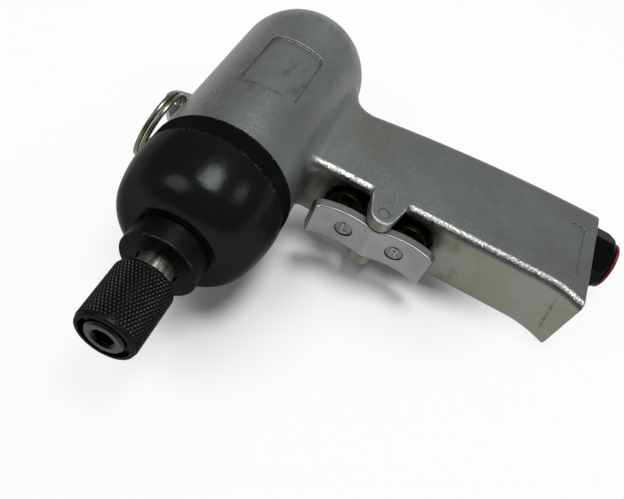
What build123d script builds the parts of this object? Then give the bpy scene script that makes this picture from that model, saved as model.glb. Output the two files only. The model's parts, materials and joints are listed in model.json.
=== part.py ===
from build123d import *
import math
import os

# Air screwdriver with a pistol grip, lying on its side on a bench.
# Sizes are millimetres in the tool's own axes: x runs along the barrel towards the bit, with 0 where the
# barrel meets the hammer case, y runs from the barrel down the handle, z runs across the handle.

# Fits, and how far a cut runs past the face that it opens
press = 0.01
slip = 0.05
running = 0.08
past = 1.0

# Barrel
barrel_r = 26.5
barrel_rear_x = -70.4
spigot_r = 23.9
spigot_front_x = 6.9
motor_bore_r = 22.0
motor_bore_rear_x = -62.0
bearing_relief = 1.5

# Handle
handle_half = 14.0
handle_draft = 0.8
handle_front_x = -19.4
handle_end_y = 132.7
handle_back_end_x = -67.0
handle_back_middle_x = -64.6
handle_back_middle_y = 80.0
crook_x = -58.6
crook_y = 37.2
crook_r = 8.3
crook_turn = 76.0
crook_reach = 13.5
flare_start_y = 116.0
flare_front_x = -15.2
upper_edge_r = 2.7
lower_edge_r = 2.0
back_edge_r = 5.0
end_edge_r = 0.9
root_fillet_r = 6.0

# Label seats, left bare
barrel_seat_rear_x = -55.0
barrel_seat_length = 31.0
barrel_seat_width = 20.6
barrel_seat_depth = 0.8
barrel_seat_corner_r = 3.0
handle_seat_x = -41.0
handle_seat_y = 124.5
handle_seat_length = 26.0
handle_seat_width = 6.0
handle_seat_depth = 0.4
handle_seat_corner_r = 1.5

# Trigger rocker, its lugs and pin
pin_x = -11.1
pin_y = 55.7
pin_r = 2.0
pin_sink = 0.2
lug_r = 4.6
lug_edge_r = 0.6
lug_inner_z = 7.9
lug_base_upper_y = 48.0
lug_base_lower_y = 63.4
trigger_half_width = 7.5
trigger_half_length = 22.3
trigger_thickness = 3.9
scallop_r = 28.0
scallop_y = 10.6
scallop_front = 3.2
hub_r = 4.2
ridge_r = 6.0
trigger_tip_r = 0.6
trigger_edge_r = 0.5
trigger_corner_r = 3.5
mark_r = 3.4
mark_depth = 0.35
mark_y = 10.0
trigger_rest_tilt = 3.0

# Valves behind the trigger
pocket_depth = 4.0
pocket_upper_y = 34.6
pocket_lower_y = 77.4
pocket_half = 9.8
pocket_corner_r = 9.0
valve_pitch = 13.0
valve_bush_r = 7.0
valve_bush_wall = 1.2
valve_bush_front_x = -16.4
valve_bush_rear_x = -38.0
valve_chamber_r = 5.4
valve_chamber_rear_x = -46.0
valve_guide_front_x = -20.0
valve_guide_rear_x = -26.0
stem_r = 2.2
stem_gap = 0.25
stem_head_r = 4.6
stem_head_rear_x = -32.6
stem_head_length = 3.4
seal_wire_r = 0.8
seal_stand = 0.6
seal_room = 0.1

# Hanger lug and its split ring
hanger_x = -23.5
hanger_y = -29.6
hanger_lug_r = 5.2
hanger_hole_r = 3.0
hanger_half = 2.0
hanger_base_rear = 7.8
hanger_base_front = 18.0
ring_centre_r = 13.3
ring_wire_r = 0.75
ring_pitch = 2.0
ring_turns = 2
ring_sag = 0.5
ring_end_turn = 90.0
ring_reach = Vector(0.996, -0.02, -0.086).normalized()
ring_face = Vector(0, 1, -0.12)

# Hammer case, nose collar and anvil bush
band_r = 26.8
band_length = 8.6
case_r = 27.3
case_crown_x = 10.0
case_shoulder_r = 52.0
case_shoulder_turn = 17.1
case_nose_r = 14.5
case_nose_turn = 52.0
case_thread_r = 24.0
case_seat_x = 7.5
chamber_r = 21.2
chamber_front_x = 24.9
neck_r = 12.0
neck_front_x = 41.7
collar_r = 13.65
collar_rear_x = 34.8
collar_front_x = 43.4
collar_hole_r = 7.35
collar_lip = 1.5
collar_edge_r = 0.7
bush_r = 10.0
bush_rear_x = 25.3
bush_front_x = 41.5

# Anvil and quick-change sleeve
shaft_r = 7.0
waist_r = 6.45
waist_x = 42.0
shaft_end_x = 49.6
tip_r = 6.7
tip_front_x = 73.4
tip_chamfer = 0.7
jaw_rear_x = 3.6
jaw_r = 8.0
lobe_r = 11.2
lobe_span = 50.0
lobe_room = 0.3
journal_r = 9.0
journal_rear_x = 19.5
journal_front_x = 25.0
socket_across = 6.45
socket_bottom_x = 46.0
socket_mouth_r = 4.2
groove_x = 70.6
groove_width = 1.1
groove_r = 6.2
sleeve_r = 10.05
sleeve_rear_x = 49.9
sleeve_front_x = 73.0
sleeve_guide_r = 6.76
sleeve_recess_r = 8.2
sleeve_recess_rear_x = 51.4
sleeve_recess_front_x = 55.4
sleeve_chamber_r = 8.6
sleeve_chamber_x = 60.0
sleeve_rim_r = 0.8
bit_ball_r = 1.85
bit_ball_x = 57.5
washer_thickness = 0.8
washer_r = 8.3
snap_ring_r = 8.2
snap_ring_gap = 36.0

# Air motor
liner_rear_x = -52.0
liner_front_x = -14.0
liner_bore_r = 18.5
liner_offset = 1.7
rotor_r = 16.5
rotor_side_gap = 0.2
rotor_end_room = 0.3
rotor_collar = 1.5
vane_count = 6
vane_slot_width = 2.0
vane_slot_bottom_r = 7.6
vane_width = 1.8
vane_r = 16.4
vane_room = 0.3
drive_square = 8.4
drive_front_x = 2.6
dowel_r = 1.25
dowel_y = 19.6
dowel_reach = 4.0
dowel_end_room = 0.2
port_x = -41.0
port_z = 8.5
port_r = 2.2
plate_rim_r = 20.8
plate_hole_lip = 0.5

# Ball bearings, and the rings' and ball cages' sizes in ball radii
rear_bearing = dict(bore_r=4.0, outer_r=11.0, width=7.0, ball_r=1.98, balls=7)
front_bearing = dict(bore_r=6.0, outer_r=14.0, width=8.0, ball_r=2.38, balls=8)
rear_bearing_x = -62.0
front_bearing_x = -12.0
ball_room = 0.05
ring_shoulder = 0.45
ball_cage_half = 1.25
ball_cage_wall = 0.3

# Hammer cage, pins and dogs
cage_r = 20.2
cage_rear_x = -2.4
cage_rear_thickness = 5.2
cage_front_x = 19.8
cage_front_thickness = 3.8
cage_web_inner_r = 18.7
cage_web_span = 70.0
hammer_pin_r = 2.5
hammer_pin_y = 17.2
dog_r = 17.4
dog_inner_r = 12.6
dog_lug_r = 9.3
dog_lug_span = 30.0
dog_lug_angle = 141.5
dog_slot_r = 14.3
dog_slot_span = 34.0
rear_dog_x = 3.2
front_dog_x = 11.5
dog_thickness = 7.9

# Springs
sleeve_spring_wound = dict(centre_r=7.6, wire_r=0.4, turns=4)
valve_spring_wound = dict(centre_r=3.4, wire_r=0.4, turns=6)
samples_per_turn = 24

# Air inlet and exhaust in the handle's end
inlet_x = -56.6
inlet_across = 21.6
inlet_end_y = 144.0
inlet_turn = 25.0
inlet_end_r = 9.3
inlet_spigot_r = 8.6
inlet_spigot_y = 120.0
inlet_lip_r = 7.8
inlet_lip = 0.6
inlet_thread_r = 5.72
inlet_thread_length = 11.5
inlet_throat_r = 4.5
cap_r = 9.5
cap_thickness = 1.3
cap_edge_r = 0.5
screen_r = 4.4
screen_length = 5.0
screen_floor = 0.8
screen_wall = 0.6
screen_hole_r = 0.7
screen_hole_ring_r = 2.2
screen_ring_holes = 6
passage_r = 4.0
gallery_r = 3.0
gallery_x = -42.0
exhaust_x = -34.5
exhaust_length = 19.0
exhaust_half = 11.0
exhaust_corner_r = 3.0
exhaust_top_y = 92.0
exhaust_screen_y = 127.0
exhaust_screen_thickness = 2.0
exhaust_hole_r = 1.2
exhaust_hole_pitch = 4.0
exhaust_hole_rows = 4
exhaust_hole_columns = 5

draft_slope = math.tan(math.radians(handle_draft))

# On the bench the barrel's rear edge, the hammer case's rim and the handle's end touch down
rest_pitch = math.atan((case_r - barrel_r) / (band_length - barrel_rear_x))
rest_corner_y = handle_end_y - end_edge_r
rest_corner_z = handle_half - end_edge_r
rest_edge_x = handle_back_end_x + back_edge_r
rest_barrel_r = barrel_r + (rest_edge_x - barrel_rear_x) * math.tan(rest_pitch)
rest_lean = math.asin((rest_barrel_r - end_edge_r) / math.hypot(rest_corner_y, rest_corner_z))
rest_roll = rest_lean - math.atan(rest_corner_z / rest_corner_y)


def along_x(rear, front, radius, y=0.0, z=0.0):
    return Pos((rear + front) / 2, y, z) * Rot(0, 90, 0) * Cylinder(radius, front - rear)


def along_y(top, bottom, radius, x=0.0, z=0.0):
    return Pos(x, (top + bottom) / 2, z) * Rot(90, 0, 0) * Cylinder(radius, bottom - top)


def along_z(half, radius, x=0.0, y=0.0):
    return Pos(x, y, 0) * Cylinder(radius, 2 * half)


def turned(*outline):
    # A solid turned about the barrel axis from its (x, radius) outline.
    return revolve(make_face(Polyline(*outline, close=True)), Axis.X)


def tube_x(rear, front, inner_r, outer_r):
    return turned((rear, inner_r), (front, inner_r), (front, outer_r), (rear, outer_r))


def across_barrel(sketch, x, length):
    # A flat shape across the barrel axis, thickened forwards from x. Angle 0 points to the handle.
    return extrude(Plane.YZ.offset(x) * sketch, length)


def sector(inner_r, outer_r, middle, span):
    outer = CenterArc((0, 0), outer_r, middle - span / 2, span)
    inner = CenterArc((0, 0), inner_r, middle - span / 2, span)
    return make_face(outer + inner + Line(outer @ 0, inner @ 0) + Line(outer @ 1, inner @ 1))


def edges_near(shape, test):
    return [edge for edge in shape.edges() if test(edge @ 0.5)]


def rims(shape, radius):
    # The round edges of a turned piece at this radius about the barrel axis.
    outer = edges_near(shape, lambda p: abs(math.hypot(p.Y, p.Z) - radius) < slip)
    return [edge for edge in outer if edge.geom_type == GeomType.CIRCLE]


def biarc(start, heading, end, end_heading):
    # Two arcs that meet smoothly between two points with given headings.
    span = end - start
    bend = 2 * (1 - heading.dot(end_heading))
    lean = span.dot(heading + end_heading)
    reach = (math.sqrt(lean**2 + bend * span.dot(span)) - lean) / bend
    middle = (start + end + (heading - end_heading) * reach) * 0.5
    middle_heading = (end - end_heading * reach) - (start + heading * reach)
    first = TangentArc(start, middle, tangent=heading)
    second = TangentArc(middle, end, tangent=middle_heading)
    return [first.edge(), second.edge()]


def coil(name, pitch, centre_r, wire_r, turns):
    # Round wire wound about the x axis from x = 0, one tube with short straight ends.
    def place(turn):
        angle = 2 * math.pi * turn
        return Vector(pitch * turn, centre_r * math.cos(angle), centre_r * math.sin(angle))

    def heading(turn):
        angle = 2 * math.pi * turn
        round_step = 2 * math.pi * centre_r
        return Vector(pitch, -round_step * math.sin(angle), round_step * math.cos(angle)).normalized()

    quarters = [quarter / 4 for quarter in range(4 * turns + 1)]
    start = place(0) - heading(0) * 2 * wire_r
    path = [Line(start, place(0)).edge()]
    for near, far in zip(quarters, quarters[1:]):
        path += biarc(place(near), heading(near), place(far), heading(far))
    path.append(Line(place(turns), place(turns) + heading(turns) * 2 * wire_r).edge())

    samples = [sample / samples_per_turn for sample in range(samples_per_turn * turns + 1)]
    apart = [
        (place(far) - place(near)).length for near in samples for far in samples if far - near >= 0.5
    ]
    print(name, "least gap between turns", round(min(apart) - 2 * wire_r, 2), "mm")
    return sweep(Plane(origin=start, z_dir=heading(0)) * Circle(wire_r), path=Wire(path))


def barrel():
    # Turned so that the round faces close along the underside, clear of the handle's root.
    dome = CenterArc((barrel_rear_x, 0), barrel_r, 90, 90)
    rest = Polyline(
        (barrel_rear_x - barrel_r, 0),
        (spigot_front_x, 0),
        (spigot_front_x, spigot_r),
        (0, spigot_r),
        (0, barrel_r),
        (barrel_rear_x, barrel_r),
    )
    return Rot(-90, 0, 0) * revolve(make_face(dome + rest), Axis.X)


def side_z(y):
    # Half the handle's thickness, which the casting's draft lessens towards the barrel.
    return handle_half - (handle_end_y - y) * draft_slope


def between_sides():
    # All that lies between the handle's two drafted sides.
    end_y = handle_end_y + past
    corners = [(0, side_z(0)), (end_y, side_z(end_y)), (end_y, -side_z(end_y)), (0, -side_z(0))]
    rear_x = barrel_rear_x - barrel_r
    return across_barrel(make_face(Polyline(*corners, close=True)), rear_x, -rear_x)


def on_side(p):
    return abs(p.Z) > side_z(p.Y) - slip


def handle():
    lean = (-draft_slope, 1)
    flare = TangentArc((handle_front_x, flare_start_y), (flare_front_x, handle_end_y), tangent=lean)
    end = Line(flare @ 1, (handle_back_end_x, handle_end_y))
    back = ThreePointArc(end @ 1, (handle_back_middle_x, handle_back_middle_y), (crook_x, crook_y))
    crook = JernArc(back @ 1, back % 1, crook_r, -crook_turn)
    run_out = crook @ 1 + (crook % 1) * crook_reach
    root_x = handle_front_x + flare_start_y * draft_slope
    inside = Polyline(crook @ 1, run_out, (run_out.X, 0), (root_x, 0), flare @ 0)
    grip = extrude(make_face(flare + end + back + crook + inside), handle_half + past, both=True)
    grip &= between_sides()
    for side, edge_r in ((1, upper_edge_r), (-1, lower_edge_r)):
        front = edges_near(grip, lambda p: p.X > handle_front_x - slip and on_side(p) and side * p.Z > 0)
        grip = fillet(front, edge_r)
    rear = edges_near(grip, lambda p: p.X < crook_x and p.Y > barrel_r / 2 and on_side(p))
    grip = fillet(rear, back_edge_r)
    return fillet(grip.faces().sort_by(Axis.Y)[-1].edges(), end_edge_r)


def trigger_lugs():
    tip = Pos(pin_x, pin_y) * Circle(lug_r)
    root_x = handle_front_x - upper_edge_r
    base = Line((root_x, lug_base_upper_y), (root_x, lug_base_lower_y))
    outline = make_hull(tip.edges() + base.edges())
    upper = extrude(Plane.XY.offset(lug_inner_z) * outline, handle_half - lug_inner_z) & between_sides()
    upper = fillet(edges_near(upper, lambda p: on_side(p) and p.X > root_x + slip), lug_edge_r)
    return upper + mirror(upper, Plane.XY)


def hanger_lug():
    eye = Pos(hanger_x, hanger_y) * Circle(hanger_lug_r)
    base_y = hanger_lug_r - barrel_r
    base = Line((hanger_x - hanger_base_rear, base_y), (hanger_x + hanger_base_front, base_y))
    return extrude(make_hull(eye.edges() + base.edges()), hanger_half, both=True)


def barrel_label_seat():
    # The floor is a cylinder that tips, so the seat runs out to nothing at its front.
    length = barrel_seat_length
    outline = RectangleRounded(length, barrel_seat_width, barrel_seat_corner_r)
    middle_x = barrel_seat_rear_x + length / 2
    block = extrude(Plane.XY.offset(barrel_r / 2) * Pos(middle_x, 0) * outline, barrel_r)
    slope = math.degrees(math.atan(barrel_seat_depth / length))
    floor = Pos(barrel_seat_rear_x + length, 0, 0) * Rot(0, -slope, 0) * Rot(0, 90, 0)
    return block - floor * Cylinder(barrel_r, 4 * length)


def handle_label_seat():
    floor = Plane.XY.offset(side_z(handle_seat_y) - handle_seat_depth) * Pos(handle_seat_x, handle_seat_y)
    outline = RectangleRounded(handle_seat_length, handle_seat_width, handle_seat_corner_r)
    return extrude(floor * outline, past)


def valve_pocket():
    middle_y = (pocket_upper_y + pocket_lower_y) / 2
    floor = Plane(origin=(handle_front_x - pocket_depth, middle_y, 0), x_dir=(0, 1, 0), z_dir=(1, 0, 0))
    outline = RectangleRounded(pocket_lower_y - pocket_upper_y, 2 * pocket_half, pocket_corner_r)
    pocket = extrude(floor * outline, pocket_depth + upper_edge_r)
    for side in (-1, 1):
        y = pin_y + side * valve_pitch
        pocket += along_x(valve_bush_rear_x - slip, handle_front_x, valve_bush_r + slip, y)
        pocket += along_x(valve_chamber_rear_x, valve_bush_rear_x, valve_chamber_r, y)
    return pocket


def air_passages():
    lower_y = pin_y + valve_pitch
    supply_start = Vector(inlet_x, inlet_spigot_y + past, 0)
    supply_end = Vector(gallery_x, lower_y, 0)
    run = supply_start - supply_end
    supply = Plane(origin=supply_end, z_dir=run) * extrude(Circle(passage_r), run.length)
    passages = supply + along_y(pin_y - valve_pitch, lower_y, gallery_r, gallery_x)
    passages += along_y(inlet_spigot_y - slip, handle_end_y + past, inlet_spigot_r + slip, inlet_x)
    chamber = Plane.XZ.offset(-exhaust_top_y) * Pos(exhaust_x, 0)
    opening = RectangleRounded(exhaust_length, 2 * exhaust_half, exhaust_corner_r)
    passages += extrude(chamber * opening, exhaust_top_y - handle_end_y - past)
    for side in (-1, 1):
        passages += along_y(barrel_r / 2, exhaust_top_y + past, port_r, port_x, side * port_z)
    return passages


def motor_housing():
    def on_barrel(p):
        behind = min(p.X - barrel_rear_x, 0)
        return abs(math.hypot(behind, p.Y, p.Z) - barrel_r) < slip

    body = barrel() + handle()
    root = edges_near(body, lambda p: on_barrel(p) and p.Y > past and p.X < -past)
    body = fillet(root, root_fillet_r)
    body += trigger_lugs()
    body += hanger_lug()
    body -= along_x(motor_bore_rear_x, spigot_front_x + past, motor_bore_r)
    relief_r = rear_bearing["outer_r"] - rear_bearing["ball_r"]
    body -= along_x(motor_bore_rear_x - bearing_relief, motor_bore_rear_x + past, relief_r)
    body -= valve_pocket()
    body -= air_passages()
    body -= barrel_label_seat()
    body -= handle_label_seat()
    body -= along_z(2 * handle_half, pin_r + press, pin_x, pin_y)
    body -= along_z(2 * hanger_half, hanger_hole_r, hanger_x, hanger_y)
    return body


def scallop_x(radius, y):
    # How far a scalloped face of the trigger stands in front of the pin axis.
    return scallop_front + scallop_r - math.sqrt(radius**2 - (y - scallop_y) ** 2)


def trigger():
    # Drawn about the pin axis, then tipped to its resting tilt.
    def scallop(radius):
        end_y = scallop_y + (trigger_half_length - scallop_y) * radius / scallop_r
        return ThreePointArc(*[(scallop_x(radius, y), y) for y in (0, scallop_y, end_y)])

    front = scallop(scallop_r)
    back = scallop(scallop_r + trigger_thickness)
    wing = make_face(front + back + Line(front @ 0, back @ 0) + Line(front @ 1, back @ 1))
    plate = extrude(wing + mirror(wing, Plane.XZ), trigger_half_width, both=True)
    tips = edges_near(plate, lambda p: abs(p.Y) > trigger_half_length - slip and abs(p.Z) < slip)
    plate = fillet(tips, trigger_tip_r)
    ridge = edges_near(plate, lambda p: abs(p.Y) < slip and p.X > 0 and abs(p.Z) < slip)
    plate = fillet(ridge, ridge_r)
    sides = edges_near(plate, lambda p: abs(p.Z) > trigger_half_width - slip)
    plate = fillet(sides, trigger_edge_r)
    outline = RectangleRounded(2 * (back @ 1).Y + slip, 2 * trigger_half_width + slip, trigger_corner_r)
    plate &= across_barrel(outline, -scallop_r, 2 * scallop_r)
    plate += along_z(trigger_half_width, hub_r)
    plate -= along_z(2 * trigger_half_width, pin_r + slip)
    floor_x = scallop_x(scallop_r, mark_y) - mark_depth
    for side in (-1, 1):
        plate -= along_x(floor_x, floor_x + scallop_front, mark_r, side * mark_y)
    return Pos(pin_x, pin_y, 0) * Rot(0, 0, trigger_rest_tilt) * plate


def trigger_pin():
    return along_z(side_z(pin_y) - pin_sink, pin_r, pin_x, pin_y)


def valve_bush(side):
    rim_r = valve_bush_r - valve_bush_wall
    bush = turned(
        (valve_bush_rear_x, valve_chamber_r),
        (valve_guide_rear_x, valve_chamber_r),
        (valve_guide_rear_x, stem_r + slip),
        (valve_guide_front_x, stem_r + slip),
        (valve_guide_front_x, rim_r),
        (valve_bush_front_x, rim_r),
        (valve_bush_front_x, valve_bush_r),
        (valve_bush_rear_x, valve_bush_r),
    )
    return Pos(0, pin_y + side * valve_pitch, 0) * bush


def valve_stem(side):
    # The domed tip stands just behind the back of the trigger.
    tilt = math.radians(trigger_rest_tilt)
    back_x = scallop_x(scallop_r + trigger_thickness, valve_pitch)
    tip_x = pin_x + back_x * math.cos(tilt) - side * valve_pitch * math.sin(tilt) - stem_gap
    rear_x = stem_head_rear_x
    front_x = rear_x + stem_head_length
    wall = stem_head_length / 2 - seal_wire_r - seal_room
    seat_r = stem_head_r - 2 * seal_wire_r + seal_stand - slip
    tip = CenterArc((tip_x - stem_r, 0), stem_r, 0, 90)
    rest = Polyline(
        (tip_x - stem_r, stem_r),
        (front_x, stem_r),
        (front_x, stem_head_r),
        (front_x - wall, stem_head_r),
        (front_x - wall, seat_r),
        (rear_x + wall, seat_r),
        (rear_x + wall, stem_head_r),
        (rear_x, stem_head_r),
        (rear_x, 0),
        (tip_x, 0),
    )
    return Pos(0, pin_y + side * valve_pitch, 0) * revolve(make_face(tip + rest), Axis.X)


def valve_seal(side):
    seal_r = stem_head_r - seal_wire_r + seal_stand
    middle_x = stem_head_rear_x + stem_head_length / 2
    return Pos(middle_x, pin_y + side * valve_pitch, 0) * Rot(0, 90, 0) * Torus(seal_r, seal_wire_r)


def valve_spring(side):
    wire_r = valve_spring_wound["wire_r"]
    rear_x = valve_chamber_rear_x + 2 * wire_r
    pitch = (stem_head_rear_x - 2 * wire_r - rear_x) / valve_spring_wound["turns"]
    return Pos(rear_x, pin_y + side * valve_pitch, 0) * coil("valve spring", pitch, **valve_spring_wound)


def split_ring():
    face = (ring_face - ring_reach * ring_face.dot(ring_reach)).normalized()
    centre = Vector(hanger_x, hanger_y, 0) + ring_reach * (ring_centre_r - ring_sag)
    start = centre - face * (ring_pitch * ring_turns / 2)
    wound = Plane(origin=start, x_dir=face, z_dir=face.cross(ring_reach))
    wire = coil("split ring", ring_pitch, ring_centre_r, ring_wire_r, ring_turns)
    return wound * Rot(ring_end_turn, 0, 0) * wire


def hammer_case():
    shoulder = JernArc((case_crown_x, case_r), (1, 0), case_shoulder_r, -case_shoulder_turn)
    nose = JernArc(shoulder @ 1, shoulder % 1, case_nose_r, -case_nose_turn)
    nose_end_x = (nose @ 1).X
    rest = Polyline(
        nose @ 1,
        (nose_end_x, neck_r),
        (neck_front_x, neck_r),
        (neck_front_x, bush_r + slip),
        (chamber_front_x, bush_r + slip),
        (chamber_front_x, chamber_r),
        (case_seat_x, chamber_r),
        (case_seat_x, case_thread_r),
        (0, case_thread_r),
        (0, band_r),
        (band_length, band_r),
        (band_length, case_r),
        (case_crown_x, case_r),
    )
    return revolve(make_face(shoulder + nose + rest), Axis.X)


def nose_collar():
    inner_x = collar_front_x - collar_lip
    collar = turned(
        (collar_rear_x, neck_r + slip),
        (inner_x, neck_r + slip),
        (inner_x, collar_hole_r),
        (collar_front_x, collar_hole_r),
        (collar_front_x, collar_r),
        (collar_rear_x, collar_r),
    )
    return fillet(rims(collar, collar_r), collar_edge_r)


def anvil_bush():
    return tube_x(bush_rear_x, bush_front_x, shaft_r + slip, bush_r)


def motor_gasket():
    return tube_x(spigot_front_x, case_seat_x, plate_rim_r + slip, spigot_r - slip)


def anvil():
    shape = turned(
        (jaw_rear_x, 0),
        (jaw_rear_x, jaw_r),
        (journal_rear_x, jaw_r),
        (journal_rear_x, journal_r),
        (journal_front_x, journal_r),
        (journal_front_x, shaft_r),
        (waist_x, shaft_r),
        (waist_x, waist_r),
        (shaft_end_x, waist_r),
        (shaft_end_x, tip_r),
        (groove_x, tip_r),
        (groove_x, groove_r),
        (groove_x + groove_width, groove_r),
        (groove_x + groove_width, tip_r),
        (tip_front_x - tip_chamfer, tip_r),
        (tip_front_x, tip_r - tip_chamfer),
        (tip_front_x, 0),
    )
    rear_lobe = sector(jaw_r - past, lobe_r, 90, lobe_span)
    shape += across_barrel(rear_lobe, jaw_rear_x, rear_dog_x + dog_thickness - jaw_rear_x)
    front_lobe = sector(jaw_r - past, lobe_r, 270, lobe_span)
    shape += across_barrel(front_lobe, front_dog_x, journal_rear_x - lobe_room - front_dog_x)
    hexagon = RegularPolygon(socket_across / 2, 6, major_radius=False)
    shape -= across_barrel(hexagon, socket_bottom_x, tip_front_x + past - socket_bottom_x)
    sink_x = tip_front_x - (socket_mouth_r - socket_across / 2)
    shape -= turned(
        (sink_x, 0),
        (sink_x, socket_across / 2),
        (tip_front_x, socket_mouth_r),
        (tip_front_x, 0),
    )
    return shape - Pos(bit_ball_x, 0, tip_r) * Cylinder(bit_ball_r + slip, 2 * tip_r)


def bit_ball():
    return Pos(bit_ball_x, 0, tip_r - bit_ball_r) * Sphere(bit_ball_r)


def chuck_sleeve():
    sleeve = turned(
        (sleeve_rear_x, sleeve_guide_r),
        (sleeve_recess_rear_x, sleeve_guide_r),
        (sleeve_recess_rear_x, sleeve_recess_r),
        (sleeve_recess_front_x, sleeve_recess_r),
        (sleeve_recess_front_x, sleeve_guide_r),
        (sleeve_chamber_x, sleeve_guide_r),
        (sleeve_chamber_x, sleeve_chamber_r),
        (sleeve_front_x, sleeve_chamber_r),
        (sleeve_front_x, sleeve_r),
        (sleeve_rear_x, sleeve_r),
    )
    return fillet(rims(sleeve, sleeve_r), sleeve_rim_r)


def sleeve_washer():
    front_x = groove_x - slip
    return tube_x(front_x - washer_thickness, front_x, sleeve_guide_r, washer_r)


def sleeve_snap_ring():
    ring = sector(groove_r + slip, snap_ring_r, 0, 360 - snap_ring_gap)
    return across_barrel(ring, groove_x + slip, groove_width - 2 * slip)


def sleeve_spring():
    wire_r = sleeve_spring_wound["wire_r"]
    rear_x = sleeve_chamber_x + 2 * wire_r
    front_x = groove_x - slip - washer_thickness - 2 * wire_r
    pitch = (front_x - rear_x) / sleeve_spring_wound["turns"]
    return Pos(rear_x, 0, 0) * coil("sleeve spring", pitch, **sleeve_spring_wound)


def bearing_pieces(rear_x, bore_r, outer_r, width, ball_r, balls):
    # Outer ring, inner ring, balls and ball cage of one ball bearing on the barrel axis.
    pitch_r = (bore_r + outer_r) / 2
    shoulder = ring_shoulder * ball_r
    front_x = rear_x + width
    middle_x = rear_x + width / 2
    track = Pos(middle_x, 0, 0) * Rot(0, 90, 0) * Torus(pitch_r, ball_r + ball_room)
    outer_ring = tube_x(rear_x, front_x, pitch_r + shoulder, outer_r) - track
    inner_ring = tube_x(rear_x, front_x, bore_r, pitch_r - shoulder) - track
    spots = [Rot(360 * ball / balls, 0, 0) * Pos(middle_x, pitch_r, 0) for ball in range(balls)]
    ball_set = Compound([spot * Sphere(ball_r) for spot in spots])
    half = ball_cage_half * ball_r
    wall = ball_cage_wall * ball_r
    cage = tube_x(middle_x - half, middle_x + half, pitch_r - wall, pitch_r + wall)
    for spot in spots:
        cage -= spot * Sphere(ball_r + ball_room)
    return outer_ring, inner_ring, ball_set, cage


def end_plate(rear_x, front_x, pocket_rear_x, bearing):
    hole_r = (bearing["bore_r"] + bearing["outer_r"]) / 2 - plate_hole_lip
    plate = along_x(rear_x, front_x, motor_bore_r - slip)
    plate -= along_x(rear_x - past, front_x + past, hole_r)
    plate -= along_x(pocket_rear_x, pocket_rear_x + bearing["width"], bearing["outer_r"] + press)
    return plate - dowel_bore()


def rear_end_plate():
    return end_plate(motor_bore_rear_x, liner_rear_x, rear_bearing_x, rear_bearing)


def front_end_plate():
    bearing_front_x = front_bearing_x + front_bearing["width"]
    plate = end_plate(liner_front_x, bearing_front_x, front_bearing_x, front_bearing)
    return plate + tube_x(bearing_front_x, spigot_front_x, plate_rim_r, motor_bore_r - slip)


def dowel_bore():
    return along_x(liner_rear_x - dowel_reach, liner_front_x + dowel_reach, dowel_r + press, dowel_y)


def liner_dowel():
    reach = dowel_reach - dowel_end_room
    return along_x(liner_rear_x - reach, liner_front_x + reach, dowel_r, dowel_y)


def cylinder_liner():
    # The bore is off centre, away from the handle, so the vanes pump between rotor and wall.
    liner = along_x(liner_rear_x, liner_front_x, motor_bore_r - slip)
    liner -= along_x(liner_rear_x - past, liner_front_x + past, liner_bore_r, -liner_offset)
    for side in (-1, 1):
        liner -= along_y(0, motor_bore_r + past, port_r, port_x, side * port_z)
    return liner - dowel_bore()


def rotor():
    body_rear_x = liner_rear_x + rotor_side_gap
    body_front_x = liner_front_x - rotor_side_gap
    rear_x = rear_bearing_x + rotor_end_room
    rear_step_x = rear_bearing_x + rear_bearing["width"]
    front_x = front_bearing_x + front_bearing["width"]
    rear_r = rear_bearing["bore_r"] - press
    front_r = front_bearing["bore_r"] - press
    shape = turned(
        (rear_x, 0),
        (rear_x, rear_r),
        (rear_step_x, rear_r),
        (rear_step_x, rear_r + rotor_collar),
        (body_rear_x, rear_r + rotor_collar),
        (body_rear_x, rotor_r),
        (body_front_x, rotor_r),
        (body_front_x, front_r + rotor_collar),
        (front_bearing_x, front_r + rotor_collar),
        (front_bearing_x, front_r),
        (front_x, front_r),
        (front_x, 0),
    )
    drive = Rectangle(drive_square, drive_square)
    shape += across_barrel(drive, front_x - past, drive_front_x - front_x + past)
    depth = rotor_r - vane_slot_bottom_r + past
    slot = Box(body_front_x - body_rear_x + 2 * past, depth, vane_slot_width)
    slot = Pos((body_rear_x + body_front_x) / 2, vane_slot_bottom_r + depth / 2, 0) * slot
    for vane in range(vane_count):
        shape -= Rot(360 * vane / vane_count, 0, 0) * slot
    return shape


def rotor_vanes():
    # The vanes lie fully home in their slots.
    length = liner_front_x - liner_rear_x - 2 * rotor_side_gap
    bottom_r = vane_slot_bottom_r + vane_room
    blade = Box(length, vane_r - bottom_r, vane_width)
    blade = Pos((liner_rear_x + liner_front_x) / 2, (bottom_r + vane_r) / 2, 0) * blade
    return Compound([Rot(360 * vane / vane_count, 0, 0) * blade for vane in range(vane_count)])


def hammer_cage():
    web_rear_x = cage_rear_x + cage_rear_thickness
    front_x = cage_front_x + cage_front_thickness
    cage = along_x(cage_rear_x, web_rear_x, cage_r)
    cage += tube_x(cage_front_x, front_x, journal_r + running, cage_r)
    for angle in (90, 270):
        web = sector(cage_web_inner_r, cage_r, angle, cage_web_span)
        cage += across_barrel(web, web_rear_x, cage_front_x - web_rear_x)
    drive = Rectangle(drive_square + 2 * slip, drive_square + 2 * slip)
    cage -= across_barrel(drive, cage_rear_x - past, cage_rear_thickness + 2 * past)
    for side in (-1, 1):
        cage -= along_x(cage_rear_x - past, front_x + past, hammer_pin_r + press, side * hammer_pin_y)
    return cage


def hammer_pins():
    front_x = cage_front_x + cage_front_thickness
    return Compound([along_x(cage_rear_x, front_x, hammer_pin_r, side * hammer_pin_y) for side in (-1, 1)])


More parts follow.
